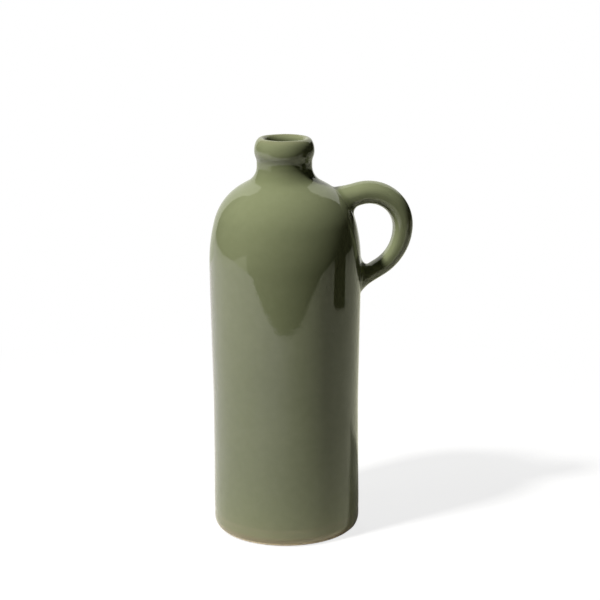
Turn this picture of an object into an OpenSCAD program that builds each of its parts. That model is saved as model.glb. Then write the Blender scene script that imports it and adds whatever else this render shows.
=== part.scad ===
// Glazed ceramic bottle jug with a loop handle and a rolled lip.
// The clay is thrown in parts and luted together, then glazed inside and out.
// Origin: on the axis of the jug, on the table plane. The handle lies along +X.
// Body sizes are the finished sizes, glaze included.

/* [Body] */
// diameter of the ring that stands on the table
contact_d = 104.8; // [98:0.2:107]
// diameter at the top of the rounded foot
foot_d = 111; // [110:0.5:118]
// height of the rounded foot
foot_h = 7.8; // [6:0.2:10]
// diameter of the slight waist
waist_d = 109.8; // [104:0.2:114]
// height of the waist
waist_z = 90; // [60:1:120]
// widest diameter, under the shoulder
belly_d = 113; // [108:0.5:120]
// height of the widest ring
belly_z = 208.5; // [180:0.5:230]
// thickness of the clay wall
wall_t = 5.1; // [4:0.1:6]

/* [Shoulder and neck] */
// radius of the upper wall's long curve
upper_curve_r = 116; // [100:1:180]
// angle that the long curve turns through
upper_curve_a = 15.3; // [8:0.1:18]
// radius of the shoulder's round
shoulder_r = 42.5; // [36:0.5:46]
// slope of the shoulder above the round, from level
shoulder_slope = 30; // [26:0.5:38]
// radius of the hollow curve at the root of the neck
neck_root_r = 13.5; // [10:0.5:18]
// diameter of the neck
neck_d = 41.2; // [39:0.2:46]
// straight length of the neck
neck_len = 2.73; // [1:0.01:5]

/* [Lip] */
// how far the rolled lip stands out past the neck
lip_overhang = 1.8; // [1:0.1:2.8]
// radius of the hollow under the lip
lip_crease_r = 10; // [7:0.5:14]
// radius of the lip's underside
lip_under_r = 12; // [9:0.5:16]
// height of the lip above its widest ring
lip_crown_h = 9.1; // [7:0.1:12]
// distance from the lip's widest ring in to its crest
crest_in = 4.9; // [3.6:0.1:6]
// depth of the round from the crest down to the mouth's straight wall
mouth_round_h = 4.5; // [3:0.1:6]
// height of the neck's spigot inside the lip
spigot_h = 5; // [3:0.1:7]
// thickness of the neck's spigot
spigot_t = 2.6; // [1.8:0.1:3.2]

/* [Base] */
// height of the seam between the base and the wall
seam_z = 14.7; // [12:0.1:24]
// height of the tongue that stands up inside the wall
lap_h = 5; // [3:0.1:8]
// thickness of the tongue
lap_t = 2.6; // [1.8:0.1:3.2]
// thickness of the floor
floor_t = 5.6; // [4.5:0.1:7]
// depth of the hollow under the floor
recess_h = 2; // [1:0.1:3]
// width of the ring that stands on the table
foot_ring_w = 8; // [6:0.1:12]
// radius of the round between the floor and the wall
floor_round_r = 5; // [3:0.1:6]

/* [Handle] */
// distance from the belly to the middle of the handle at its farthest
handle_reach = 32.8; // [29:0.1:38]
// height of that farthest point above the belly ring
handle_rise = 22.3; // [19:0.1:28]
// radius of the handle's upper bend
upper_bend_r = 27; // [24:0.5:30]
// slope of the handle where it leaves the shoulder
leave_slope = 14.5; // [8:0.5:20]
// radius of the handle's lower bend
lower_bend_r = 36; // [33:0.5:40]
// slope of the handle where it meets the wall
meet_slope = 30; // [24:0.5:37]
// thickness of the handle at the shoulder
handle_top_t = 16.5; // [13:0.1:18]
// thickness of the handle near the wall
handle_low_t = 12.6; // [10:0.1:14]
// width of the handle for each unit of its thickness
handle_width_ratio = 1.25; // [1:0.01:1.4]
// squareness of the handle's inner half: 2 is round, and more is flatter
inner_square = 3; // [2:0.1:4]

/* [Luting] */
// spread of the clay around the upper joint, at the shoulder
upper_spread = 1.5; // [1:0.1:3.5]
// length of the upper luting along the handle
upper_luting_len = 11; // [10:0.1:15]
// spread of the clay around the lower joint, at the wall
lower_spread = 3; // [2:0.1:4.5]
// length of the lower luting along the handle
lower_luting_len = 10; // [8:0.1:13]

/* [Glaze] */
// thickness of the glaze
glaze_t = 0.6; // [0.4:0.05:0.8]
// height of the glaze's lower edge above the table
glaze_edge_z = 1.8; // [1:0.1:4]

/* [Hidden] */
$fn = 96;

// angle step of the arcs in the profile
arc_step = 4;
// steps of each eased stretch of the wall
wall_steps = 12;
// sides of the handle's section
sides = 24;

contact_r = contact_d / 2;
foot_r = foot_d / 2;
waist_r = waist_d / 2;
belly_r = belly_d / 2;
neck_r = neck_d / 2;
lip_r = neck_r + lip_overhang;
crest_r = lip_r - crest_in;

// the foot's arc is upright at its top and reaches the contact ring at the table
foot_in = foot_r - contact_r;
foot_arc_r = (foot_h * foot_h + foot_in * foot_in) / (2 * foot_in);
foot_arc_c = [foot_r - foot_arc_r, foot_h];

// centres of the shoulder's two arcs, then the hollow at the root of the neck
upper_c = [belly_r - upper_curve_r, belly_z];
upper_end = upper_c + upper_curve_r * [cos(upper_curve_a), sin(upper_curve_a)];
shoulder_c = upper_end - shoulder_r * [cos(upper_curve_a), sin(upper_curve_a)];
slope_n = [sin(shoulder_slope), cos(shoulder_slope)];
slope_a = 90 - shoulder_slope;
root_cr = neck_r + neck_root_r;
root_cz = (shoulder_c * slope_n + shoulder_r + neck_root_r - root_cr * slope_n[0]) / slope_n[1];
root_c = [root_cr, root_cz];

// the hollow under the lip touches the neck and the lip's underside
crease_c = [neck_r + lip_crease_r, root_cz + neck_len];
under_cr = lip_r - lip_under_r;
lip_mid_z = crease_c[1] + sqrt(pow(lip_under_r + lip_crease_r, 2) - pow(crease_c[0] - under_cr, 2));
crease_a = acos((crease_c[0] - under_cr) / (lip_under_r + lip_crease_r));
lip_seam_z = lip_mid_z - (lip_under_r - glaze_t) * sin(crease_a);
jug_h = lip_mid_z + lip_crown_h;

// radii and heights inside
mouth_r = neck_r - wall_t - 2 * glaze_t;
spigot_r = neck_r - glaze_t - wall_t + spigot_t;
lap_r = foot_r - glaze_t - wall_t + lap_t;
floor_z = recess_h + floor_t;
inner_d = glaze_t + wall_t;
round_z = floor_z + floor_round_r;

function ease(t) = (1 - cos(180 * t)) / 2;
function arc(c, r, a, b) =
    let (n = max(2, ceil(abs(b - a) / arc_step)))
    [for (i = [0 : n]) let (t = a + (b - a) * i / n) [c[0] + r * cos(t), c[1] + r * sin(t)]];
function oval(c, rx, rz, a, b) =
    let (n = max(2, ceil(abs(b - a) / (2 * arc_step))))
    [for (i = [0 : n]) let (t = a + (b - a) * i / n) [c[0] + rx * cos(t), c[1] + rz * sin(t)]];

// the wall eases in from the foot to the waist, then out to the belly: heights with finished radii
wall_shape = concat(
    [for (i = [0 : wall_steps - 1]) let (t = i / wall_steps)
        [foot_h + (waist_z - foot_h) * t, foot_r + (waist_r - foot_r) * ease(t)]],
    [for (i = [0 : wall_steps]) let (t = i / wall_steps)
        [waist_z + (belly_z - waist_z) * t, waist_r + (belly_r - waist_r) * ease(t)]]);
function wall_r(z) = lookup(z, wall_shape);

// lines of the profile, each lying d inside the finished surface
function foot_angle(d, z) = -asin((foot_h - z) / (foot_arc_r - d));
function bare_foot_line(d) =
    arc(foot_arc_c, foot_arc_r - d, foot_angle(d, 0), foot_angle(d, glaze_edge_z));
function glazed_foot_line(d) = arc(foot_arc_c, foot_arc_r - d, foot_angle(d, glaze_edge_z), 0);
function foot_line(d) = concat(bare_foot_line(d), glazed_foot_line(d));
function wall_line(d, z) = concat(
    [[wall_r(z) - d, z]],
    [for (w = wall_shape) if (w[0] > z + 0.01) [w[1] - d, w[0]]]);
function wall_part(d, z, top) = concat(
    [for (p = wall_line(d, z)) if (p[1] < top - 0.01) p],
    [[wall_r(top) - d, top]]);
function shoulder_line(d) = concat(
    arc(upper_c, upper_curve_r - d, 0, upper_curve_a),
    arc(shoulder_c, shoulder_r - d, upper_curve_a, slope_a),
    arc(root_c, neck_root_r + d, 180 + slope_a, 180));
function crease_line(d) = arc(crease_c, lip_crease_r + d, 180, 180 - crease_a);
function lip_line(d) = concat(
    arc([under_cr, lip_mid_z], lip_under_r - d, -crease_a, 0),
    oval([crest_r, lip_mid_z], lip_r - crest_r - d, lip_crown_h - d, 0, 90));
function mouth_line(d) =
    oval([crest_r, jug_h - mouth_round_h], crest_r - mouth_r - d, mouth_round_h - d, 90, 180);

// drops points that repeat the one before them
function tidy(p) = [for (i = [0 : len(p) - 1]) if (i == 0 || norm(p[i] - p[i - 1]) > 0.001) p[i]];
function turned(p) = [for (i = [len(p) - 1 : -1 : 0]) p[i]];
module spin(p) { rotate_extrude() polygon(tidy(p)); }

// inner surface of the clay, or of the glaze that lies g thick on it
function floor_line(g) = concat(
    [[0, floor_z + g]],
    arc([wall_r(round_z) - inner_d - floor_round_r, round_z], floor_round_r - g, -90, 0));
function inner_line(g) = concat(
    floor_line(g), wall_line(inner_d + g, round_z), shoulder_line(inner_d + g));

// everything inside the clay's outer surface, for cutting the handle's ends
module clay_body() {
    spin(concat([[0, 0]], foot_line(glaze_t), wall_line(glaze_t, foot_h), shoulder_line(glaze_t),
                [[0, root_cz]]));
}

// centreline of the handle, from inside the shoulder round to inside the wall
bend_x = belly_r + handle_reach;
bend_z = belly_z + handle_rise;
upper_bend_c = [bend_x - upper_bend_r, bend_z];
lower_bend_c = [bend_x - lower_bend_r, bend_z];
leave_dir = [cos(leave_slope), sin(leave_slope)];
leave_p = upper_bend_c + upper_bend_r * [-sin(leave_slope), cos(leave_slope)];
meet_dir = [-cos(meet_slope), -sin(meet_slope)];
meet_p = lower_bend_c + lower_bend_r * [sin(meet_slope), -cos(meet_slope)];

// where the centreline crosses the shoulder's round, and where it crosses the wall
to_shoulder = leave_p - shoulder_c;
along = to_shoulder * leave_dir;
leave_len = along - sqrt(along * along - to_shoulder * to_shoulder + shoulder_r * shoulder_r);
meet_len = (meet_p[0] - belly_r) / cos(meet_slope);

// lengths along the centreline, counted from the shoulder
upper_bend_len = upper_bend_r * (90 + leave_slope) * PI / 180;
lower_bend_len = lower_bend_r * (90 - meet_slope) * PI / 180;
handle_len = leave_len + upper_bend_len + lower_bend_len + meet_len;
// how far the handle's shape runs on inside the clay before it is cut
root_in = wall_t + glaze_t;

function middle(s) =
    let (u = s - leave_len, v = u - upper_bend_len, w = v - lower_bend_len)
    u < 0 ? leave_p + u * leave_dir :
    v < 0 ? let (a = 90 + leave_slope - u / upper_bend_r * 180 / PI)
            upper_bend_c + upper_bend_r * [cos(a), sin(a)] :
    w < 0 ? let (a = -v / lower_bend_r * 180 / PI)
            lower_bend_c + lower_bend_r * [cos(a), sin(a)] :
    meet_p + w * meet_dir;
function heading(s) =
    let (u = s - leave_len, v = u - upper_bend_len, w = v - lower_bend_len)
    u < 0 ? leave_slope :
    v < 0 ? leave_slope - u / upper_bend_r * 180 / PI :
    w < 0 ? -90 - v / lower_bend_r * 180 / PI :
    -180 + meet_slope;

// the thick upper end tapers to the thin lower end between these parts of the length
taper_from = 0.25;
taper_to = 0.83;
function half_t(s) =
    let (t = min(1, max(0, (s / handle_len - taper_from) / (taper_to - taper_from))))
    (handle_top_t + (handle_low_t - handle_top_t) * ease(t)) / 2;

// slant of the sections, so that they lie along the shoulder and the wall at the two joints
root_out = middle(0) - shoulder_c;
shoulder_a = atan2(root_out[1], root_out[0]) - leave_slope;
function slant(s) =
    let (u = min(1, max(0, s / upper_luting_len)),
         v = min(1, max(0, (handle_len - s) / lower_luting_len)))
    -tan(shoulder_a) * (1 - ease(u)) + tan(meet_slope) * (1 - ease(v));

// extra half thickness of the luted joints at station s
function fall(d, l) = pow(max(0, 1 - d / l), 3);
function spread(s) =
    upper_spread * min(2.2, fall(s, upper_luting_len))
    + lower_spread * min(2.2, fall(handle_len - s, lower_luting_len));

// a sine or cosine drawn out toward 1, which flattens a half of the section
function drawn(v, p) = sign(v) * pow(abs(v), p);

// one point of a section: d lies inside the finished surface, lute is 1 with the luting and 0 without
function section_point(s, a, d, lute) =
    let (h = half_t(s) - d, b = spread(s) * lute, t = heading(s), m = middle(s), k = slant(s),
         p = cos(a) < 0 ? 2 / inner_square : 1,
         up = (h + b) * drawn(cos(a), p), side = (h * handle_width_ratio + b) * drawn(sin(a), p))
    [m[0] + up * (k * cos(t) - sin(t)), side, m[1] + up * (k * sin(t) + cos(t))];
function ring(s, d, lute) = [for (i = [0 : sides - 1]) section_point(s, i * 360 / sides, d, lute)];

// stations along the handle: close together in the luted joints
end_steps = 7;
mid_steps = 20;
upper_stations = [for (i = [0 : end_steps]) -root_in + (root_in + upper_luting_len) * i / end_steps];
lower_stations = [for (i = [0 : end_steps])
    handle_len - lower_luting_len + (root_in + lower_luting_len) * i / end_steps];
mid_stations = [for (i = [1 : mid_steps - 1])
    upper_luting_len + (handle_len - lower_luting_len - upper_luting_len) * i / mid_steps];
all_stations = concat(upper_stations, mid_stations, lower_stations);

// side faces between the rings of one skin that starts at point number f
function skin(n, f, flip) = [for (j = [0 : n - 2]) for (i = [0 : sides - 1])
    let (k = (i + 1) % sides, a = f + j * sides + i, b = f + j * sides + k, c = a + sides, e = b + sides)
    each flip ? [[a, c, b], [b, c, e]] : [[a, b, c], [b, e, c]]];
function cap(f, flip) = [for (i = [1 : sides - 2]) flip ? [f, f + i + 1, f + i] : [f, f + i, f + i + 1]];
function collar(f, g, flip) = [for (i = [0 : sides - 1])
    let (k = (i + 1) % sides)
    each flip ? [[f + i, g + i, f + k], [f + k, g + i, g + k]]
              : [[f + i, f + k, g + i], [f + k, g + k, g + i]]];

// a solid bar along the stations
module bar(stations, d, lute) {
    n = len(stations);
    polyhedron(points = [for (s = stations) each ring(s, d, lute)],
               faces = concat(skin(n, 0, false), cap(0, true), cap((n - 1) * sides, false)));
}
// a tube along the stations, between an outer and an inner skin
module sleeve(stations, d_out, lute_out, d_in, lute_in) {
    n = len(stations);
    g = n * sides;
    polyhedron(points = concat([for (s = stations) each ring(s, d_out, lute_out)],
                               [for (s = stations) each ring(s, d_in, lute_in)]),
               faces = concat(skin(n, 0, false), skin(n, g, true), collar(0, g, true),
                              collar(g - sides, 2 * g - sides, false)));
}

// floor, rounded foot and the upstanding tongue that the wall fits over
module base_dish() {
    color([0.68, 0.63, 0.53])
    spin(concat(
        [[0, recess_h], [contact_r - foot_ring_w - recess_h, recess_h], [contact_r - foot_ring_w, 0]],
        foot_line(glaze_t), wall_part(glaze_t, foot_h, seam_z),
        [[lap_r, seam_z], [lap_r, seam_z + lap_h]],
        turned(wall_part(inner_d, round_z, seam_z + lap_h)), turned(floor_line(0))));
}

// wall, shoulder and neck in one, open below over the base's tongue, with the lip's spigot on top
module body_wall() {
    color([0.70, 0.65, 0.55])
    spin(concat(
        [[lap_r, seam_z]],
        wall_line(glaze_t, seam_z), shoulder_line(glaze_t), crease_line(glaze_t),
        [[spigot_r, lip_seam_z], [spigot_r, lip_seam_z + spigot_h],
         [neck_r - inner_d, lip_seam_z + spigot_h]],
        turned(shoulder_line(inner_d)), turned(wall_line(inner_d, seam_z + lap_h)),
        [[lap_r, seam_z + lap_h]]));
}

// rolled lip, seated on the neck and round its spigot
module lip_ring() {
    color([0.70, 0.65, 0.55])
    spin(concat(
        [[spigot_r, lip_seam_z]],
        lip_line(glaze_t), mouth_line(glaze_t),
        [[neck_r - inner_d, lip_seam_z + spigot_h], [spigot_r, lip_seam_z + spigot_h]]));
}

// pulled handle, saddle cut at both ends to sit on the shoulder and the wall
module handle() {
    color([0.70, 0.65, 0.55])
    difference() {
        bar(all_stations, glaze_t, 0);
        clay_body();
    }
}

// fillet of soft clay worked round the handle's upper end
module upper_luting() {
    color([0.66, 0.61, 0.51])
    difference() {
        sleeve(upper_stations, glaze_t, 1, glaze_t, 0);
        clay_body();
    }
}

// fillet of soft clay worked round the handle's lower end
module lower_luting() {
    color([0.66, 0.61, 0.51])
    difference() {
        sleeve(lower_stations, glaze_t, 1, glaze_t, 0);
        clay_body();
    }
}

// glaze over the outside, from its edge above the table to the crest of the lip
module outer_glaze() {
    color([0.50, 0.53, 0.40])
    difference() {
        spin(concat(
            glazed_foot_line(0), wall_line(0, foot_h), shoulder_line(0), crease_line(0), lip_line(0),
            turned(lip_line(glaze_t)), turned(crease_line(glaze_t)), turned(shoulder_line(glaze_t)),
            turned(wall_line(glaze_t, foot_h)), turned(glazed_foot_line(glaze_t))));
        bar(all_stations, 0, 1);
    }
}

// glaze round the handle and its luted joints
module handle_glaze() {
    color([0.48, 0.51, 0.38])
    difference() {
        sleeve(all_stations, 0, 1, glaze_t, 1);
        clay_body();
    }
}

// glaze over the inside, from the crest of the lip down over the floor
module inner_glaze() {
    color([0.46, 0.49, 0.37])
    spin(concat(
        inner_line(0), turned(mouth_line(glaze_t)), mouth_line(0), turned(inner_line(glaze_t))));
}

base_dish();
body_wall();
lip_ring();
handle();
upper_luting();
lower_luting();
outer_glaze();
handle_glaze();
inner_glaze();
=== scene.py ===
"""Glazed ceramic bottle jug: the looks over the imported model, and the studio that it stands in."""

import math

import bpy
import numpy as np
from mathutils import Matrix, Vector


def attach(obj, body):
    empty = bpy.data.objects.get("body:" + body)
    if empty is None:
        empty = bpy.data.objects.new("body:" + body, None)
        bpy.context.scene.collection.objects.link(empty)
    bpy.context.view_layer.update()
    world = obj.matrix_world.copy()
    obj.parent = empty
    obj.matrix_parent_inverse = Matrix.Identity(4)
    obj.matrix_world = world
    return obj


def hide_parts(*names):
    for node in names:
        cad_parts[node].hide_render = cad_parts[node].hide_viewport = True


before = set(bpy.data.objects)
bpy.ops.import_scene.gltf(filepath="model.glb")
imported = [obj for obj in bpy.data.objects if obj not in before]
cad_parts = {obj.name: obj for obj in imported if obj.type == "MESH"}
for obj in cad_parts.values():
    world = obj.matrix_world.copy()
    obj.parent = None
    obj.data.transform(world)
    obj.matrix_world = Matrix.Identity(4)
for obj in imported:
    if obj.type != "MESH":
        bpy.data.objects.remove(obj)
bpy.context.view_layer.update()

MM = 0.001
TINY = 1e-6

# Sizes as in the model's source, diameters halved: lengths in millimetres, angles in radians
CONTACT_R = 52.4
FOOT_R = 55.5
FOOT_H = 7.8
WAIST_R = 54.9
WAIST_Z = 90.0
BELLY_R = 56.5
BELLY_Z = 208.5
WALL_T = 5.1
UPPER_CURVE_R = 116.0
UPPER_CURVE_A = math.radians(15.3)
SHOULDER_R = 42.5
SHOULDER_SLOPE = math.radians(30.0)
NECK_ROOT_R = 13.5
NECK_R = 20.6
NECK_LEN = 2.73
LIP_OVERHANG = 1.8
LIP_CREASE_R = 10.0
LIP_UNDER_R = 12.0
LIP_CROWN_H = 9.1
CREST_IN = 4.9
MOUTH_ROUND_H = 4.5
SEAM_Z = 14.7
LAP_H = 5.0
LAP_T = 2.6
FLOOR_T = 5.6
RECESS_H = 2.0
FOOT_RING_W = 8.0
FLOOR_ROUND_R = 5.0
HANDLE_REACH = 32.8
HANDLE_RISE = 22.3
UPPER_BEND_R = 27.0
LEAVE_SLOPE = math.radians(14.5)
LOWER_BEND_R = 36.0
MEET_SLOPE = math.radians(30.0)
HANDLE_TOP_T = 16.5
HANDLE_LOW_T = 12.6
HANDLE_WIDTH_RATIO = 1.25
INNER_SQUARE = 3.0
UPPER_SPREAD = 1.5
UPPER_LUTING_LEN = 11.0
LOWER_SPREAD = 3.0
LOWER_LUTING_LEN = 10.0
GLAZE_T = 0.6

# The glaze's edge is wiped half a millimetre higher here than in the model's source
GLAZE_EDGE_Z = 2.3

# Values that follow from the sizes
LIP_R = NECK_R + LIP_OVERHANG
CREST_R = LIP_R - CREST_IN
MOUTH_R = NECK_R - WALL_T - 2 * GLAZE_T
INNER_D = GLAZE_T + WALL_T
FLOOR_Z = RECESS_H + FLOOR_T
ROUND_Z = FLOOR_Z + FLOOR_ROUND_R
SLOPE_A = math.pi / 2 - SHOULDER_SLOPE
FOOT_IN = FOOT_R - CONTACT_R
FOOT_ARC_R = (FOOT_H**2 + FOOT_IN**2) / (2 * FOOT_IN)
UPPER_C = np.array([BELLY_R - UPPER_CURVE_R, BELLY_Z])
UPPER_DIR = np.array([math.cos(UPPER_CURVE_A), math.sin(UPPER_CURVE_A)])
SHOULDER_C = UPPER_C + (UPPER_CURVE_R - SHOULDER_R) * UPPER_DIR
SLOPE_N = np.array([math.cos(SLOPE_A), math.sin(SLOPE_A)])
ROOT_CR = NECK_R + NECK_ROOT_R
ROOT_CZ = (SHOULDER_C @ SLOPE_N + SHOULDER_R + NECK_ROOT_R - ROOT_CR * SLOPE_N[0]) / SLOPE_N[1]
CREASE_C = (NECK_R + LIP_CREASE_R, ROOT_CZ + NECK_LEN)
UNDER_CR = LIP_R - LIP_UNDER_R
CREASE_A = math.acos((CREASE_C[0] - UNDER_CR) / (LIP_UNDER_R + LIP_CREASE_R))
LIP_MID_Z = CREASE_C[1] + (LIP_UNDER_R + LIP_CREASE_R) * math.sin(CREASE_A)
JUG_H = LIP_MID_Z + LIP_CROWN_H

# Points along each line of the profile
FOOT_POINTS = 40
WALL_POINTS = 240
UPPER_POINTS = 60
SHOULDER_POINTS = 80
ROOT_POINTS = 60
CREASE_POINTS = 30
UNDER_POINTS = 40
CROWN_POINTS = 60
MOUTH_POINTS = 40
FLOOR_POINTS = 40

# Spacing of the skin's points in millimetres: close at the lip and the foot, wider on the plain wall
CLOSE_STEP = 0.8
SHOULDER_STEP = 1.6
WALL_STEP = 3.0
CLOSE_BELOW_Z = 20
CLOSE_ABOVE_Z = ROOT_CZ - 14

# How much coarser the skin's underside is, and the spacing of the line that the handle lands on
UNDERSIDE_RATIO = 3
BODY_LINE_STEP = 0.1

# Steps round the axis and round the handle
TURNS = 192
HANDLE_SIDES = 64


# Lines of the profile, as radius and height
def ease(t):
    return (1 - np.cos(np.pi * t)) / 2


def oval(centre, radius_r, radius_z, start, end, count):
    a = np.linspace(start, end, count)
    return np.stack([centre[0] + radius_r * np.cos(a), centre[1] + radius_z * np.sin(a)], 1)


def arc(centre, radius, start, end, count):
    return oval(centre, radius, radius, start, end, count)


def wall_radius(z):
    """Finished radius of the wall, eased from the foot to the waist and out to the belly."""
    low = FOOT_R + (WAIST_R - FOOT_R) * ease((z - FOOT_H) / (WAIST_Z - FOOT_H))
    high = WAIST_R + (BELLY_R - WAIST_R) * ease((z - WAIST_Z) / (BELLY_Z - WAIST_Z))
    return np.where(z < WAIST_Z, low, high)


FLOOR_ROUND_C = (float(wall_radius(ROUND_Z)) - INNER_D - FLOOR_ROUND_R, ROUND_Z)


def foot_line(depth, low_z):
    start = -math.asin((FOOT_H - low_z) / (FOOT_ARC_R - depth))
    return arc((FOOT_R - FOOT_ARC_R, FOOT_H), FOOT_ARC_R - depth, start, 0, FOOT_POINTS)


def wall_line(depth, low_z):
    z = np.linspace(low_z, BELLY_Z, WALL_POINTS)
    return np.stack([wall_radius(z) - depth, z], 1)


def shoulder_line(depth):
    root_c = (ROOT_CR, ROOT_CZ)
    return np.concatenate([
        arc(UPPER_C, UPPER_CURVE_R - depth, 0, UPPER_CURVE_A, UPPER_POINTS),
        arc(SHOULDER_C, SHOULDER_R - depth, UPPER_CURVE_A, SLOPE_A, SHOULDER_POINTS),
        arc(root_c, NECK_ROOT_R + depth, math.pi + SLOPE_A, math.pi, ROOT_POINTS),
    ])


def lip_line(depth):
    crown_c = (CREST_R, LIP_MID_Z)
    return np.concatenate([
        arc(CREASE_C, LIP_CREASE_R + depth, math.pi, math.pi - CREASE_A, CREASE_POINTS),
        arc((UNDER_CR, LIP_MID_Z), LIP_UNDER_R - depth, -CREASE_A, 0, UNDER_POINTS),
        oval(crown_c, CREST_IN - depth, LIP_CROWN_H - depth, 0, math.pi / 2, CROWN_POINTS),
    ])


def mouth_line(depth):
    centre = (CREST_R, JUG_H - MOUTH_ROUND_H)
    width = CREST_R - MOUTH_R - depth
    return oval(centre, width, MOUTH_ROUND_H - depth, math.pi / 2, math.pi, MOUTH_POINTS)


def inner_line(glaze_depth):
    """Inner line from the neck down to the middle of the floor, of the clay or of the glaze on it."""
    line = np.concatenate([
        [[0.0, FLOOR_Z + glaze_depth]],
        arc(FLOOR_ROUND_C, FLOOR_ROUND_R - glaze_depth, -math.pi / 2, 0, FLOOR_POINTS),
        wall_line(INNER_D + glaze_depth, ROUND_Z),
        shoulder_line(INNER_D + glaze_depth),
    ])
    return line[::-1]


def outer_line(depth):
    """Outer line from the glaze's lower edge to the lip's crest, at a depth under the finished surface."""
    return np.concatenate([
        foot_line(depth, GLAZE_EDGE_Z),
        wall_line(depth, FOOT_H),
        shoulder_line(depth),
        lip_line(depth),
    ])


def resample(line, spacing):
    """The line with points set apart by a spacing that may change with height."""
    step = np.hypot(*np.diff(line, axis=0).T)
    line = line[np.concatenate([[True], step > TINY])]
    step = np.hypot(*np.diff(line, axis=0).T)
    length = np.concatenate([[0], np.cumsum(step)])
    middle_z = (line[1:, 1] + line[:-1, 1]) / 2
    weight = step / np.array([spacing(z) for z in middle_z])
    count = np.concatenate([[0], np.cumsum(weight)])
    total = int(math.ceil(count[-1]))
    where = np.interp(np.linspace(0, count[-1], total + 1), count, length)
    return np.stack([np.interp(where, length, line[:, 0]), np.interp(where, length, line[:, 1])], 1)


def skin_spacing(z):
    if z > CLOSE_ABOVE_Z or z < CLOSE_BELOW_Z:
        return CLOSE_STEP
    if z > BELLY_Z:
        return SHOULDER_STEP
    return WALL_STEP


BODY_LINE = np.concatenate([wall_line(0, FOOT_H), shoulder_line(0)])
BODY_LINE = resample(BODY_LINE, lambda z: BODY_LINE_STEP)
BODY_TANGENT = np.gradient(BODY_LINE, axis=0)
BODY_TANGENT /= np.linalg.norm(BODY_TANGENT, axis=1)[:, None]


# Meshes
def add_mesh(name, points, faces):
    """A new smooth object from points in millimetres."""
    mesh = bpy.data.meshes.new(name)
    mesh.from_pydata((np.asarray(points) * MM).tolist(), [], faces)
    mesh.validate()
    mesh.update()
    for polygon in mesh.polygons:
        polygon.use_smooth = True
    piece = bpy.data.objects.new(name, mesh)
    bpy.context.scene.collection.objects.link(piece)
    return piece


def set_attribute(piece, name, values):
    layer = piece.data.attributes.new(name, "FLOAT", "POINT")
    layer.data.foreach_set("value", np.clip(values, 0, 1).astype(np.float32))


def spun(section):
    """Points and faces of a closed section spun round the axis; points on the axis become poles."""
    angle = np.linspace(0, 2 * math.pi, TURNS, endpoint=False)
    points = []
    rows = []
    for r, z in section:
        start = len(points)
        if r < TINY:
            points.append((0.0, 0.0, z))
            rows.append([start] * TURNS)
        else:
            points.extend(zip(r * np.cos(angle), r * np.sin(angle), np.full(TURNS, z)))
            rows.append(list(range(start, start + TURNS)))
    faces = []
    for i, low in enumerate(rows):
        high = rows[(i + 1) % len(rows)]
        if low[0] == low[1] and high[0] == high[1]:
            continue
        for k in range(TURNS):
            n = (k + 1) % TURNS
            corners = [low[k], low[n], high[n], high[k]]
            faces.append([c for j, c in enumerate(corners) if c not in corners[:j]])
    return np.array(points), faces


def grow(distance, length):
    """A share that grows from 0 to 1 over a length."""
    return np.clip(distance / length, 0, 1)


def band(place, middle, width):
    """A soft band that is 1 at its middle."""
    return np.exp(-(((place - middle) / width) ** 2))


# Hand-finished lip in millimetres: how far it rises, its tilt and the direction where it stands highest
LIP_RISE = 0.40
LIP_TILT = 0.42
LIP_HIGH_A = math.radians(232)

# Waves of the lip: height, count round the jug and phase
LIP_RISE_WAVES = ((0.08, 3, -0.5), (0.05, 5, 1.7))
LIP_SPREAD_WAVES = ((0.18, 2, -0.6), (0.14, 4, 0.3))

# Waves of the body: the same, and the height in which the wave turns by a radian
BODY_WAVES = ((0.07, 2, 0.6, 61.0), (0.05, 3, 2.1, -37.0))

# Heights above which the lip's and the body's unevenness grow in, and the lengths that they take
LIP_ZONE_Z = JUG_H - 16
LIP_ZONE_LEN = 12
BODY_ZONE_Z = 4
BODY_ZONE_LEN = 20

# Ripple up the body: its height, its length for a radian, and how it sways round the jug
RIPPLE_H = 0.035
RIPPLE_LEN = 9.5
RIPPLE_SWAY = 0.8
RIPPLE_PHASE = 0.4


def waves(angle, table):
    return sum(height * np.sin(count * angle + phase) for height, count, phase in table)


def unevenness(points):
    """The small irregular shape of hand-finished clay, in millimetres, as an offset for each point."""
    angle = np.arctan2(points[:, 1], points[:, 0])
    z = points[:, 2]
    swell = waves(angle, [(h, count, phase + z / turn) for h, count, phase, turn in BODY_WAVES])
    swell += RIPPLE_H * np.sin(z / RIPPLE_LEN + RIPPLE_SWAY * np.sin(angle + RIPPLE_PHASE))
    near_lip = grow(z - LIP_ZONE_Z, LIP_ZONE_LEN)
    rise = LIP_RISE + LIP_TILT * np.cos(angle - LIP_HIGH_A) + waves(angle, LIP_RISE_WAVES)
    radial = swell * grow(z - BODY_ZONE_Z, BODY_ZONE_LEN) + near_lip * waves(angle, LIP_SPREAD_WAVES)
    offset = np.zeros_like(points)
    offset[:, 0] = radial * np.cos(angle)
    offset[:, 1] = radial * np.sin(angle)
    offset[:, 2] = near_lip * rise
    return offset


# Faint ring round the wall, just under the seam
RING_Z = SEAM_Z - 1.0
RING_W = 1.6
RING_DEPTH = 0.12

# Radii and a height that tell the outside of the jug from its inside
FOOT_OUTSIDE_R = CONTACT_R - 3
WALL_OUTSIDE_R = WAIST_R - 1
NECK_OUTSIDE_R = NECK_R - 1.5
MOUTH_INSIDE_R = MOUTH_R + 1
BELOW_LIP_Z = JUG_H - 20

# Thin glaze at the crest, the edge, the seam and the foot: height, width, share and least radius
THIN_BANDS = (
    (JUG_H, 1.5, 0.20, 0.0),
    (GLAZE_EDGE_Z, 4.0, 1.0, FOOT_OUTSIDE_R),
    (SEAM_Z - 2.6, 1.8, 0.20, WALL_OUTSIDE_R),
    (GLAZE_EDGE_Z, 14.0, 0.25, FOOT_OUTSIDE_R),
)

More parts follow.
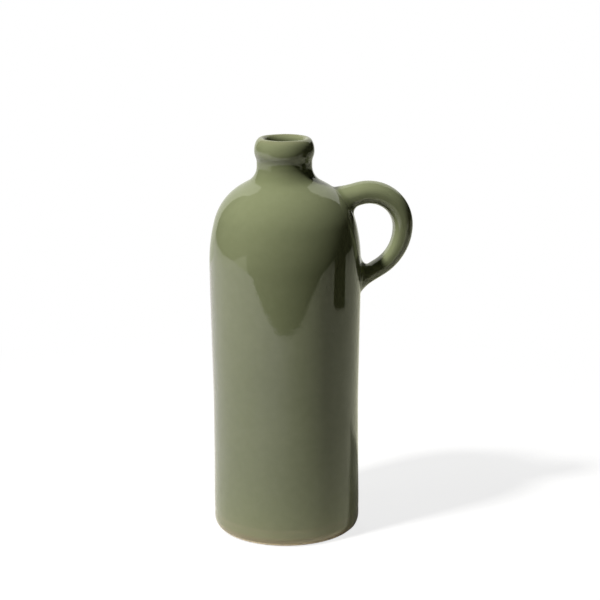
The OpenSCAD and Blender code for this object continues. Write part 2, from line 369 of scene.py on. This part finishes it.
# Painted shade under the lip and at the root of the neck, as a darker glaze colour, given in the same way
PAINTED_SHADE_BANDS = (
    (CREASE_C[1] + 2.0, 4.0, 0.55, NECK_OUTSIDE_R),
    (ROOT_CZ - 6.5, 5.0, 0.40, NECK_OUTSIDE_R),
)

# Heights at which the painted shade inside the mouth and its deeper painted shade start, and the lengths over
# which they grow
INSIDE_SHADE_Z = JUG_H - 1.5
INSIDE_SHADE_LEN = 5
INSIDE_DEEP_SHADE_Z = JUG_H - 3
INSIDE_DEEP_SHADE_LEN = 8


def bands(z, radius, table):
    """Sum of soft bands round the jug, each only where the radius is large enough."""
    return sum(share * band(z, middle, width) * (radius > least) for middle, width, share, least in table)


def make_glaze_skin():
    """The glaze of the body, outside and inside, as one closed skin with its own thickness."""
    outside = outer_line(0)
    on_wall = outside[:, 0] > WALL_OUTSIDE_R
    outside[:, 0] -= RING_DEPTH * (band(outside[:, 1], RING_Z, RING_W) * on_wall)
    finished = resample(np.concatenate([outside, mouth_line(0), inner_line(GLAZE_T)]), skin_spacing)
    under = np.concatenate([outer_line(GLAZE_T), mouth_line(GLAZE_T), inner_line(0)])
    under = resample(under, lambda z: UNDERSIDE_RATIO * skin_spacing(z))
    points, faces = spun(np.concatenate([finished, under[::-1]]))
    points = points + unevenness(points)
    skin = add_mesh("glaze_skin", points, faces)
    radius = np.hypot(points[:, 0], points[:, 1])
    z = points[:, 2]
    inside = radius < MOUTH_INSIDE_R
    inside |= (z < BELOW_LIP_Z) & (radius < np.interp(z, BODY_LINE[:, 1], BODY_LINE[:, 0]) - WALL_T)
    # Painted shade inside the mouth, which grows in below the crest, and deeper painted shade further down
    inside_shade = inside * grow(INSIDE_SHADE_Z - z, INSIDE_SHADE_LEN)
    set_attribute(skin, "thin", bands(z, radius, THIN_BANDS))
    # Painted shade under the lip and at the root of the neck, and inside the mouth
    set_attribute(skin, "painted_shade", bands(z, radius, PAINTED_SHADE_BANDS) + inside_shade)
    set_attribute(skin, "deep", inside * grow(INSIDE_DEEP_SHADE_Z - z, INSIDE_DEEP_SHADE_LEN))
    return skin


# Handle: its centreline, thickness and joints
BEND_X = BELLY_R + HANDLE_REACH
BEND_Z = BELLY_Z + HANDLE_RISE
UPPER_BEND_C = np.array([BEND_X - UPPER_BEND_R, BEND_Z])
LOWER_BEND_C = np.array([BEND_X - LOWER_BEND_R, BEND_Z])
LEAVE_DIR = np.array([math.cos(LEAVE_SLOPE), math.sin(LEAVE_SLOPE)])
LEAVE_P = UPPER_BEND_C + UPPER_BEND_R * np.array([-math.sin(LEAVE_SLOPE), math.cos(LEAVE_SLOPE)])
MEET_DIR = np.array([-math.cos(MEET_SLOPE), -math.sin(MEET_SLOPE)])
MEET_P = LOWER_BEND_C + LOWER_BEND_R * np.array([math.sin(MEET_SLOPE), -math.cos(MEET_SLOPE)])
TO_SHOULDER = LEAVE_P - SHOULDER_C
ALONG = TO_SHOULDER @ LEAVE_DIR
LEAVE_LEN = ALONG - math.sqrt(ALONG**2 - TO_SHOULDER @ TO_SHOULDER + SHOULDER_R**2)
MEET_LEN = (MEET_P[0] - BELLY_R) / math.cos(MEET_SLOPE)
UPPER_BEND_LEN = UPPER_BEND_R * (math.pi / 2 + LEAVE_SLOPE)
LOWER_BEND_LEN = LOWER_BEND_R * (math.pi / 2 - MEET_SLOPE)
HANDLE_LEN = LEAVE_LEN + UPPER_BEND_LEN + LOWER_BEND_LEN + MEET_LEN

# Shares of the handle's length between which it grows thinner
TAPER_FROM = 0.25
TAPER_TO = 0.83

# Each joint is tight on the outside of the loop and wider on its inside
UPPER_START = (2.4, 8.0)
UPPER_LANDING = (2.4, 4.5)
LOWER_START = (2.5, 13.0)
LOWER_LANDING = (2.2, 10.0)
JOINT_STEPS = 12
JOINT_PULL = 0.40
JOINT_NUDGE = 0.2
TUBE_STEPS = 100

# Painted shade in the joints' hollows, as a darker glaze colour: its row from either end, its width in rows
# and its share
HOLLOW_ROW = 5
HOLLOW_W = 4.0
HOLLOW_PAINTED_SHADE = 0.6


def clamp(t):
    return min(1.0, max(0.0, t))


def middle_line(s):
    """Centre of the handle and its direction in the plane of the handle, at a length from the shoulder."""
    u = s - LEAVE_LEN
    v = u - UPPER_BEND_LEN
    w = v - LOWER_BEND_LEN
    if u < 0:
        return LEAVE_P + u * LEAVE_DIR, LEAVE_SLOPE
    if v < 0:
        turn = u / UPPER_BEND_R
        a = math.pi / 2 + LEAVE_SLOPE - turn
        return UPPER_BEND_C + UPPER_BEND_R * np.array([math.cos(a), math.sin(a)]), LEAVE_SLOPE - turn
    if w < 0:
        turn = v / LOWER_BEND_R
        centre = LOWER_BEND_C + LOWER_BEND_R * np.array([math.cos(-turn), math.sin(-turn)])
        return centre, -math.pi / 2 - turn
    return MEET_P + w * MEET_DIR, MEET_SLOPE - math.pi


def half_thickness(s):
    t = clamp((s / HANDLE_LEN - TAPER_FROM) / (TAPER_TO - TAPER_FROM))
    return (HANDLE_TOP_T + (HANDLE_LOW_T - HANDLE_TOP_T) * float(ease(t))) / 2


ROOT_OUT = middle_line(0.0)[0] - SHOULDER_C
SHOULDER_TILT = math.atan2(ROOT_OUT[1], ROOT_OUT[0]) - LEAVE_SLOPE


def slant(s):
    """Lean of the sections, so that they lie along the shoulder and the wall at the two joints."""
    u = clamp(s / UPPER_LUTING_LEN)
    v = clamp((HANDLE_LEN - s) / LOWER_LUTING_LEN)
    return float(-math.tan(SHOULDER_TILT) * (1 - ease(u)) + math.tan(MEET_SLOPE) * (1 - ease(v)))


def spread(s):
    """Extra half thickness of the luted joints."""
    upper = max(0.0, 1 - s / UPPER_LUTING_LEN) ** 3
    lower = max(0.0, 1 - (HANDLE_LEN - s) / LOWER_LUTING_LEN) ** 3
    return UPPER_SPREAD * upper + LOWER_SPREAD * lower


def drawn(v, power):
    """A sine or cosine drawn out toward 1, which flattens a half of the section."""
    return math.copysign(abs(v) ** power, v)


def handle_point(s, a, extra=0.0):
    """Point of the handle's surface at a length and an angle round the section, with extra thickness."""
    centre, heading = middle_line(s)
    h = half_thickness(s)
    k = slant(s)
    wide = spread(s) + extra
    power = 2 / INNER_SQUARE if math.cos(a) < 0 else 1.0
    up = (h + wide) * drawn(math.cos(a), power)
    side = (h * HANDLE_WIDTH_RATIO + wide) * drawn(math.sin(a), power)
    r = centre[0] + up * (k * math.cos(heading) - math.sin(heading))
    z = centre[1] + up * (k * math.sin(heading) + math.cos(heading))
    return np.array([r, side, z])


def on_body(point):
    """Nearest point of the body's surface, and the outward normal there."""
    r = math.hypot(point[0], point[1])
    i = int(np.argmin((BODY_LINE[:, 0] - r) ** 2 + (BODY_LINE[:, 1] - point[2]) ** 2))
    c = point[0] / r
    s = point[1] / r
    t = BODY_TANGENT[i]
    place = np.array([BODY_LINE[i, 0] * c, BODY_LINE[i, 0] * s, BODY_LINE[i, 1]])
    normal = np.array([t[1] * c, t[1] * s, -t[0]])
    return place + unevenness(place[None])[0], normal


def round_the_loop(pair, a):
    """A value that goes from the outside of the loop to its inside with the angle round the section."""
    return pair[0] + (pair[1] - pair[0]) * ((1 - math.cos(a)) / 2) ** 2


def joint_curve(s, toward, a, landing):
    """Points of the smooth hollow that leads from the handle's surface down on to the body."""
    start = handle_point(s, a)
    step = handle_point(s + toward, a) - start
    step /= np.linalg.norm(step)
    end_s = 0.0 if toward < 0 else HANDLE_LEN
    end, normal = on_body(handle_point(end_s, a, landing))
    away = end - start
    away -= (away @ normal) * normal
    away /= np.linalg.norm(away)
    pull = JOINT_PULL * np.linalg.norm(end - start)
    t = np.linspace(0, 1, JOINT_STEPS)[1:, None]
    curve = (1 - t) ** 3 * start + 3 * (1 - t) ** 2 * t * (start + pull * step)
    curve += 3 * (1 - t) * t**2 * (end - pull * away) + t**3 * end
    return curve


def make_handle_skin():
    """The glaze of the handle and of its luted joints, as one closed skin with its own thickness."""
    columns = []
    for a in np.linspace(0, 2 * math.pi, HANDLE_SIDES, endpoint=False):
        first = round_the_loop(UPPER_START, a)
        last = HANDLE_LEN - round_the_loop(LOWER_START, a)
        upper = joint_curve(first, -JOINT_NUDGE, a, round_the_loop(UPPER_LANDING, a))
        tube = [handle_point(s, a) for s in np.linspace(first, last, TUBE_STEPS)]
        lower = joint_curve(last, JOINT_NUDGE, a, round_the_loop(LOWER_LANDING, a))
        columns.append(np.concatenate([upper[::-1], tube, lower]))
    outer = np.array(columns).transpose(1, 0, 2)
    along = np.gradient(outer, axis=0)
    around = np.roll(outer, -1, axis=1) - np.roll(outer, 1, axis=1)
    normal = np.cross(around, along)
    normal /= np.linalg.norm(normal, axis=2)[:, :, None]
    centre = outer.mean(axis=1, keepdims=True)
    if ((outer - centre) * normal).sum() < 0:
        normal = -normal
    inner = outer - GLAZE_T * normal
    rows = len(outer)
    points = np.concatenate([outer.reshape(-1, 3), inner.reshape(-1, 3)])
    loop = list(range(rows)) + [rows + i for i in reversed(range(rows))]
    faces = []
    for j, row in enumerate(loop):
        low = row * HANDLE_SIDES
        high = loop[(j + 1) % len(loop)] * HANDLE_SIDES
        for k in range(HANDLE_SIDES):
            n = (k + 1) % HANDLE_SIDES
            faces.append([low + k, high + k, high + n, low + n])
    skin = add_mesh("handle_skin", points, faces)
    steps = np.arange(rows)
    # Painted shade in the hollows of both joints
    hollow = band(steps, HOLLOW_ROW, HOLLOW_W) + band(steps, rows - 1 - HOLLOW_ROW, HOLLOW_W)
    set_attribute(skin, "painted_shade", HOLLOW_PAINTED_SHADE * np.repeat(np.concatenate([hollow, hollow]), HANDLE_SIDES))
    set_attribute(skin, "thin", np.zeros(len(points)))
    set_attribute(skin, "deep", np.zeros(len(points)))
    return skin


# Softened edges of the foot ring, in millimetres out from its inner or outer corner, and up
RING_INNER_EDGE = (
    (-RECESS_H - 1.0, RECESS_H), (-RECESS_H, RECESS_H - 0.15), (-0.4, 0.35), (0.0, 0.08), (0.5, 0.0),
)
RING_OUTER_EDGE = ((-1.0, 0.0), (-0.5, 0.04), (-0.1, 0.22))
RING_EDGE_TOP_Z = 0.4
BARE_SIDE_POINTS = 12
BARE_FLOOR_POINTS = 16


def make_bare_foot():
    """The unglazed base: its foot ring with softened edges, hollow underside, floor and tongue."""
    ring_in = CONTACT_R - GLAZE_T - FOOT_RING_W
    lap_r = FOOT_R - GLAZE_T - WALL_T + LAP_T
    lap_z = SEAM_Z + LAP_H
    contact = foot_line(GLAZE_T, 0.0)
    ring_out = contact[0, 0]
    z = np.linspace(FOOT_H, SEAM_Z, BARE_SIDE_POINTS)[1:]
    points, faces = spun(np.concatenate([
        [(0.0, RECESS_H)],
        [(ring_in + out, up) for out, up in RING_INNER_EDGE],
        [(ring_out + out, up) for out, up in RING_OUTER_EDGE],
        contact[contact[:, 1] > RING_EDGE_TOP_Z],
        np.stack([wall_radius(z) - GLAZE_T, z], 1),
        [(lap_r, SEAM_Z), (lap_r, lap_z), (float(wall_radius(SEAM_Z)) - INNER_D, lap_z)],
        arc(FLOOR_ROUND_C, FLOOR_ROUND_R, 0, -math.pi / 2, BARE_FLOOR_POINTS),
        [(0.0, FLOOR_Z)],
    ]))
    return add_mesh("bare_foot", points, faces)


# Colours of the glaze and the clay
BLACK = (0, 0, 0)
WHITE = (1, 1, 1)
GLAZE_LIGHT = (0.278, 0.306, 0.168)
GLAZE_DEEP = (0.252, 0.280, 0.150)
# Painted shade: a darker glaze colour under the lip, at the neck root, inside the mouth and in the handle's
# joints
GLAZE_PAINTED_SHADE = (0.165, 0.190, 0.088)
# The body's glaze painted lighter on the handle, as painted light
HANDLE_BRIGHTENED_LIGHT = (0.320, 0.352, 0.195)
HANDLE_BRIGHTENED_DEEP = (0.290, 0.322, 0.174)
GLAZE_THIN = (0.325, 0.285, 0.183)
# Deeper painted shade inside the mouth
INSIDE_PAINTED_SHADE = (0.060, 0.066, 0.034)
CLOUD_DIM = (0.965, 0.965, 0.955)
CLOUD_BRIGHT = (1.02, 1.02, 1.03)
SPECK_COLOUR = (0.11, 0.11, 0.06)
# Bare clay of the foot: its own pale colour, painted lighter still as painted light on its downward-facing
# edge
BARE_BRIGHTENED_LIGHT = (0.88, 0.78, 0.60)
BARE_BRIGHTENED_DARK = (0.78, 0.68, 0.51)
CLAY_LIGHT = (0.48, 0.42, 0.31)
CLAY_DARK = (0.42, 0.36, 0.26)
SLIP_LIGHT = (0.44, 0.385, 0.28)
SLIP_DARK = (0.38, 0.33, 0.235)
GRIT_COLOUR = (0.16, 0.13, 0.09)

# Noises of the materials: scale, detail and roughness
TONE_NOISE = (11.0, 3.0, 0.5)
CLOUD_NOISE = (150.0, 4.0, 0.6)
SPECK_NOISE = (1150.0, 2.0, 0.5)
RIPPLE_NOISE = (34.0, 1.0, 0.5)
PEEL_NOISE = (330.0, 2.0, 0.5)
RINGS_NOISE = (18.0, 2.0, 0.5)
CLAY_NOISE = (45.0, 5.0, 0.6)
GRAIN_NOISE = (1400.0, 3.0, 0.7)

# Throwing rings are a noise that is squashed along the axis
RINGS_SQUASH = (1.0, 1.0, 18.0)

# Parts of a noise's range over which each ramp runs
TONE_RANGE = (0.30, 0.70)
GLOSS_RANGE = (0.3, 0.7)
CLOUD_RANGE = (0.35, 0.75)
SPECK_RANGE = (0.70, 0.78)
CLAY_RANGE = (0.30, 0.72)
GRIT_RANGE = (0.62, 0.72)
MATT_RANGE = (0.3, 0.7)

# Bumps: strength, and height in metres
RIPPLE_BUMP = (0.10, 0.0015)
PEEL_BUMP = (0.05, 0.0003)
RINGS_BUMP = (0.25, 0.00007)
CLAY_BUMP = (0.25, 0.0006)
GRAIN_BUMP = (0.35, 0.0002)

# Strongest share of the specks and the grit, roughness from least to most, and the glaze's refraction
SPECK_SHARE = 0.28
GRIT_SHARE = 0.5
GLAZE_ROUGHNESS = (0.03, 0.05)
CLAY_ROUGHNESS = (0.68, 0.86)
GLAZE_IOR = 1.52


# Nodes and materials
def grey(value):
    return (value, value, value)


def feed(tree, socket, value):
    """Links an output to a socket, or sets the socket to a number or a colour."""
    if isinstance(value, bpy.types.NodeSocket):
        tree.links.new(value, socket)
    elif isinstance(value, tuple):
        socket.default_value = (*value, 1)
    else:
        socket.default_value = value


def add_node(tree, kind, feeds):
    """A new node with each of the named or numbered sockets fed."""
    node = tree.nodes.new(kind)
    for key, value in feeds.items():
        feed(tree, node.inputs[key], value)
    return node


def object_place(tree):
    return add_node(tree, "ShaderNodeTexCoord", {}).outputs["Object"]


def axes(tree, place):
    return add_node(tree, "ShaderNodeSeparateXYZ", {"Vector": place}).outputs


def noise(tree, place, values):
    scale, detail, rough = values
    feeds = {"Vector": place, "Scale": scale, "Detail": detail, "Roughness": rough}
    return add_node(tree, "ShaderNodeTexNoise", feeds).outputs["Fac"]


def ramp(tree, source, span, low_colour, high_colour):
    node = add_node(tree, "ShaderNodeValToRGB", {"Fac": source})
    for element, position, colour in zip(node.color_ramp.elements, span, (low_colour, high_colour)):
        element.position = position
        element.color = (*colour, 1)
    return node.outputs["Color"]


def mix_colour(tree, factor, first, second, blend="MIX"):
    node = tree.nodes.new("ShaderNodeMix")
    node.data_type = "RGBA"
    node.blend_type = blend
    feed(tree, node.inputs["Factor"], factor)
    feed(tree, node.inputs["A"], first)
    feed(tree, node.inputs["B"], second)
    return node.outputs["Result"]


def attribute(tree, name):
    node = tree.nodes.new("ShaderNodeAttribute")
    node.attribute_name = name
    return node.outputs["Fac"]


def bump(tree, shader, heights):
    """Chains noise heights, each with its strength and distance, into the shader's normal."""
    chain = {}
    for height, (strength, distance) in heights:
        feeds = {"Height": height, "Strength": strength, "Distance": distance}
        node = add_node(tree, "ShaderNodeBump", {**feeds, **chain})
        chain = {"Normal": node.outputs["Normal"]}
    feed(tree, shader.inputs["Normal"], chain["Normal"])


def new_material(name):
    material = bpy.data.materials.new(name)
    material.use_nodes = True
    return material, material.node_tree, material.node_tree.nodes["Principled BSDF"]


def glaze_material(name, light, deep):
    material, tree, shader = new_material(name)
    place = object_place(tree)
    broad = noise(tree, place, TONE_NOISE)
    tone = ramp(tree, broad, TONE_RANGE, deep, light)
    cloud = ramp(tree, noise(tree, place, CLOUD_NOISE), CLOUD_RANGE, CLOUD_DIM, CLOUD_BRIGHT)
    colour = mix_colour(tree, 1.0, tone, cloud, "MULTIPLY")
    # The first and the last of these layers darken the colour as painted shade; the middle one is thinner
    # glaze
    for layer, layer_colour in (("painted_shade", GLAZE_PAINTED_SHADE), ("thin", GLAZE_THIN), ("deep", INSIDE_PAINTED_SHADE)):
        colour = mix_colour(tree, attribute(tree, layer), colour, layer_colour)
    dots = ramp(tree, noise(tree, place, SPECK_NOISE), SPECK_RANGE, BLACK, grey(SPECK_SHARE))
    colour = mix_colour(tree, dots, colour, SPECK_COLOUR)
    feed(tree, shader.inputs["Base Color"], colour)
    gloss = ramp(tree, broad, GLOSS_RANGE, grey(GLAZE_ROUGHNESS[0]), grey(GLAZE_ROUGHNESS[1]))
    feed(tree, shader.inputs["Roughness"], gloss)
    feed(tree, shader.inputs["IOR"], GLAZE_IOR)
    squash = add_node(tree, "ShaderNodeMapping", {"Vector": place})
    squash.inputs["Scale"].default_value = RINGS_SQUASH
    bump(tree, shader, [
        (noise(tree, place, RIPPLE_NOISE), RIPPLE_BUMP),
        (noise(tree, place, PEEL_NOISE), PEEL_BUMP),
        (noise(tree, squash.outputs["Vector"], RINGS_NOISE), RINGS_BUMP),
    ])
    return material


def clay_material(name, light, dark):
    material, tree, shader = new_material(name)
    place = object_place(tree)
    broad = noise(tree, place, CLAY_NOISE)
    grain = noise(tree, place, GRAIN_NOISE)
    tone = ramp(tree, broad, CLAY_RANGE, dark, light)
    grit = ramp(tree, grain, GRIT_RANGE, BLACK, grey(GRIT_SHARE))
    feed(tree, shader.inputs["Base Color"], mix_colour(tree, grit, tone, GRIT_COLOUR))
    matt = ramp(tree, grain, MATT_RANGE, grey(CLAY_ROUGHNESS[0]), grey(CLAY_ROUGHNESS[1]))
    feed(tree, shader.inputs["Roughness"], matt)
    bump(tree, shader, [(broad, CLAY_BUMP), (grain, GRAIN_BUMP)])
    return material


# Pieces
glaze = glaze_material("sage_glaze", GLAZE_LIGHT, GLAZE_DEEP)
# The handle's glaze is a lighter copy of the body's glaze, as painted light
handle_glaze = glaze_material("handle_glaze_painted_light", HANDLE_BRIGHTENED_LIGHT, HANDLE_BRIGHTENED_DEEP)
# The bare clay is painted lighter than the clay body, partly as painted light
bare_clay_brightened = clay_material("bare_stoneware_painted_light", BARE_BRIGHTENED_LIGHT, BARE_BRIGHTENED_DARK)
clay = clay_material("stoneware_body", CLAY_LIGHT, CLAY_DARK)
slip = clay_material("stoneware_slip", SLIP_LIGHT, SLIP_DARK)

glaze_skin = make_glaze_skin()
glaze_skin.data.materials.append(glaze)
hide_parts("outer_glaze", "inner_glaze")
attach(glaze_skin, "root")

handle_skin = make_handle_skin()
handle_skin.data.materials.append(handle_glaze)
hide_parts("handle_glaze")
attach(handle_skin, "root")

bare_foot = make_bare_foot()
bare_foot.data.materials.append(bare_clay_brightened)
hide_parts("base_dish")
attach(bare_foot, "root")

for node_name, node_material in (
    ("body_wall", clay), ("lip_ring", clay), ("handle", clay), ("upper_luting", slip), ("lower_luting", slip),
    ("base_dish", bare_clay_brightened), ("outer_glaze", glaze), ("handle_glaze", glaze), ("inner_glaze", glaze),
):
    node_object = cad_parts[node_name]
    node_object.data.materials.clear()
    node_object.data.materials.append(node_material)

# Camera in metres, radians and pixels, solved from the outline in the photograph
CAMERA_AZ = math.radians(-8.0)
CAMERA_D = 1.372
CAMERA_PITCH = math.radians(15.82)
CAMERA_FOCUS_PX = 1889.5
CAMERA_CENTRE_PX = (285.55, 334.95)
CAMERA_ROLL = -0.0065
IMAGE_PX = 600.0

# Width of the camera's sensor in millimetres, and the nearest distance that it sees in metres
CAMERA_SENSOR_MM = 36.0
CAMERA_CLIP_START = 0.05

# Height in metres that the camera and the lamps look at
AIM_Z = 0.150

# Places in the studio in metres, as the camera sees them: to its right, away from it and up
FLOOR_LEFT = -2.0
FLOOR_RIGHT = 1.85
FLOOR_FRONT = -0.56
FLOOR_FAR = 3.0
BACKDROP_Y = 0.80
FLOOR_CORNERS = (
    (FLOOR_LEFT, FLOOR_FRONT, 0), (FLOOR_RIGHT, FLOOR_FRONT, 0),
    (FLOOR_RIGHT, FLOOR_FAR, 0), (FLOOR_LEFT, FLOOR_FAR, 0),
)
BACKDROP_CORNERS = (
    (-0.76, BACKDROP_Y, 0), (0.40, BACKDROP_Y, 0), (0.40, BACKDROP_Y, 0.40), (0.84, BACKDROP_Y, 0.60),
    (0.88, BACKDROP_Y, 1.45), (-0.80, BACKDROP_Y, 1.40), (-0.70, BACKDROP_Y, 1.0),
)
CURL_CORNERS = (
    (-0.88, FLOOR_FRONT, 0), (-0.93, FLOOR_FRONT, 0.215),
    (-1.65, FLOOR_FRONT, 0.12), (FLOOR_LEFT, -0.3, 0),
)
FLAG_CORNERS = ((0.645, -0.165, 0), (0.645, 0.10, 0), (0.69, 0.155, 0.45), (0.69, -0.145, 0.45))

# Glow of the cards; the backdrop's grows to its top strength between two heights
BACKDROP_GLOW = (0.82, 0.83, 0.74)
BACKDROP_TOP = 1.2
BACKDROP_CLIMB = (0.4, 1.4)
CURL_GLOW = (0.88, 0.89, 0.72)
FLAG_GLOW = BLACK

# Floor paper as colour and glow: seen by the camera, lighting the jug, and mirrored in the glaze
SEEN_NEAR = ((0.30, 0.30, 0.30), (0.80, 0.80, 0.80))
SEEN_FAR = (BLACK, WHITE)
BOUNCE_CLOSE = ((0.92, 0.88, 0.78), BLACK)
BOUNCE_BEYOND = ((0.20, 0.195, 0.155), BLACK)
MIRRORED_LEFT = ((0.89, 0.86, 0.90), (0.30, 0.285, 0.30))
MIRRORED_RIGHT = ((0.94, 0.95, 0.74), (0.12, 0.123, 0.094))
MIRRORED_SHADOW = ((0.94, 0.95, 0.74), (0.01, 0.01, 0.008))

# Distances in metres from the jug's axis, and places along X, over which one paper turns to another
SEEN_REACH = (0.18, 0.55)
BOUNCE_REACH = (0.056, 0.11)
SHADOW_REACH = (0.08, 0.16)
MIRRORED_ACROSS = (-0.25, 0.15)

# Lamps: name, degrees round from the camera and up, distance and size in metres, and watts
LAMPS = (
    ("key", -55, 54, 2.2, 0.2, 46.5),
    ("side", -78, 32, 2.2, 0.8, 5.5),
    ("top", -150, 80, 1.6, 0.8, 1.5),
    ("back", -168, 8, 2.2, 0.8, 16.0),
)

# Colours of the lamps' light and of the dim room
LAMP_COLOUR = (1.0, 0.99, 0.97)
ROOM_COLOUR = (0.008, 0.008, 0.006)


# Studio
def studio_place(x, y, z):
    """A place given as the camera sees it: x to its right, y away from it, in metres from the jug's axis."""
    c = math.cos(CAMERA_AZ)
    s = math.sin(CAMERA_AZ)
    return Vector((x * c - y * s, x * s + y * c, z))


def stage_plane(name, corners, material):
    """A flat piece of the studio, from its corners as the camera sees them."""
    mesh = bpy.data.meshes.new(name)
    mesh.from_pydata([studio_place(*c) for c in corners], [], [list(range(len(corners)))])
    mesh.update()
    plane = bpy.data.objects.new(name, mesh)
    bpy.context.scene.collection.objects.link(plane)
    plane.data.materials.append(material)
    return plane


def empty_tree(owner):
    """The node tree of a material or a world, with its nodes cleared."""
    owner.use_nodes = True
    owner.node_tree.nodes.clear()
    return owner.node_tree


def smooth_step(tree, source, span):
    node = add_node(tree, "ShaderNodeMapRange", {"Value": source, "From Min": span[0], "From Max": span[1]})
    node.interpolation_type = "SMOOTHSTEP"
    return node.outputs["Result"]


def paper(tree, look):
    """Paper with a colour in the light and a glow of its own."""
    colour, glow = look
    diffuse = add_node(tree, "ShaderNodeBsdfDiffuse", {"Color": colour}).outputs["BSDF"]
    light = add_node(tree, "ShaderNodeEmission", {"Color": glow}).outputs["Emission"]
    return add_node(tree, "ShaderNodeAddShader", {0: diffuse, 1: light}).outputs["Shader"]


def mix_shader(tree, factor, first, second):
    return add_node(tree, "ShaderNodeMixShader", {"Fac": factor, 1: first, 2: second}).outputs["Shader"]


def floor_material():
    """Pale paper: a white ground that keeps the jug's shadow, and lit paper in the glaze's reflections."""
    material = bpy.data.materials.new("pale_paper")
    tree = empty_tree(material)
    path = add_node(tree, "ShaderNodeLightPath", {}).outputs
    place = object_place(tree)
    length = add_node(tree, "ShaderNodeVectorMath", {0: place})
    length.operation = "LENGTH"
    reach = length.outputs["Value"]
    fade = smooth_step(tree, reach, SEEN_REACH)
    hug = smooth_step(tree, reach, BOUNCE_REACH)
    shade = smooth_step(tree, reach, SHADOW_REACH)
    across = smooth_step(tree, axes(tree, place)["X"], MIRRORED_ACROSS)
    seen = mix_shader(tree, fade, paper(tree, SEEN_NEAR), paper(tree, SEEN_FAR))
    bounce = mix_shader(tree, hug, paper(tree, BOUNCE_CLOSE), paper(tree, BOUNCE_BEYOND))
    right = mix_shader(tree, shade, paper(tree, MIRRORED_SHADOW), paper(tree, MIRRORED_RIGHT))
    mirrored = mix_shader(tree, across, paper(tree, MIRRORED_LEFT), right)
    unseen = mix_shader(tree, path["Is Glossy Ray"], bounce, mirrored)
    surface = mix_shader(tree, path["Is Camera Ray"], unseen, seen)
    add_node(tree, "ShaderNodeOutputMaterial", {"Surface": surface})
    return material


def card_material(name, colour, top=1.0):
    """A card that glows with its own colour, more toward its top where a top strength is given."""
    material = bpy.data.materials.new(name)
    tree = empty_tree(material)
    glow = add_node(tree, "ShaderNodeEmission", {"Color": colour})
    if top != 1.0:
        climb = add_node(tree, "ShaderNodeMapRange", {
            "Value": axes(tree, object_place(tree))["Z"],
            "From Min": BACKDROP_CLIMB[0],
            "From Max": BACKDROP_CLIMB[1],
            "To Min": 1.0,
            "To Max": top,
        })
        feed(tree, glow.inputs["Strength"], climb.outputs["Result"])
    add_node(tree, "ShaderNodeOutputMaterial", {"Surface": glow.outputs["Emission"]})
    return material


stage_plane("floor", FLOOR_CORNERS, floor_material())
cards = (
    stage_plane("backdrop", BACKDROP_CORNERS, card_material("backdrop_paper", BACKDROP_GLOW, BACKDROP_TOP)),
    stage_plane("paper_curl", CURL_CORNERS, card_material("curl_paper", CURL_GLOW)),
    stage_plane("dark_flag", FLAG_CORNERS, card_material("flag_cloth", FLAG_GLOW)),
)

# The cards show only in the reflections of the glaze
for card in cards:
    card.visible_camera = False
    card.visible_diffuse = False
    card.visible_shadow = False


def area_light(name, azimuth, elevation, distance, size, power):
    """A soft square lamp that looks at the jug, placed round it from the camera's direction."""
    light = bpy.data.lights.new(name, "AREA")
    light.shape = "SQUARE"
    light.size = size
    light.energy = power
    light.color = LAMP_COLOUR
    lamp = bpy.data.objects.new(name, light)
    a = math.radians(azimuth)
    e = math.radians(elevation)
    flat = distance * math.cos(e)
    lamp.location = studio_place(flat * math.sin(a), -flat * math.cos(a), AIM_Z + distance * math.sin(e))
    lamp.rotation_euler = (Vector((0, 0, AIM_Z)) - lamp.location).to_track_quat("-Z", "Y").to_euler()
    lamp.visible_glossy = False
    bpy.context.scene.collection.objects.link(lamp)


for lamp_values in LAMPS:
    area_light(*lamp_values)

# World: white to the camera, and a dim room to everything else
world = bpy.data.worlds.new("studio")
bpy.context.scene.world = world
world_tree = empty_tree(world)
camera_ray = add_node(world_tree, "ShaderNodeLightPath", {}).outputs["Is Camera Ray"]
room = add_node(world_tree, "ShaderNodeBackground", {"Color": ROOM_COLOUR}).outputs["Background"]
white = add_node(world_tree, "ShaderNodeBackground", {"Color": WHITE}).outputs["Background"]
add_node(world_tree, "ShaderNodeOutputWorld", {"Surface": mix_shader(world_tree, camera_ray, room, white)})

# Camera
camera_data = bpy.data.cameras.new("camera")
camera_data.sensor_width = CAMERA_SENSOR_MM
camera_data.lens = CAMERA_FOCUS_PX / IMAGE_PX * CAMERA_SENSOR_MM
camera_data.shift_x = (IMAGE_PX / 2 - CAMERA_CENTRE_PX[0]) / IMAGE_PX
camera_data.shift_y = (CAMERA_CENTRE_PX[1] - IMAGE_PX / 2) / IMAGE_PX
camera_data.clip_start = CAMERA_CLIP_START
camera = bpy.data.objects.new("camera", camera_data)
camera.location = studio_place(0, -CAMERA_D, AIM_Z + CAMERA_D * math.tan(CAMERA_PITCH))
camera.rotation_euler = (math.pi / 2 - CAMERA_PITCH, 0, CAMERA_AZ)
camera.rotation_euler.rotate_axis("Z", CAMERA_ROLL)
bpy.context.scene.collection.objects.link(camera)
bpy.context.scene.camera = camera
bpy.context.scene.view_settings.view_transform = "Standard"
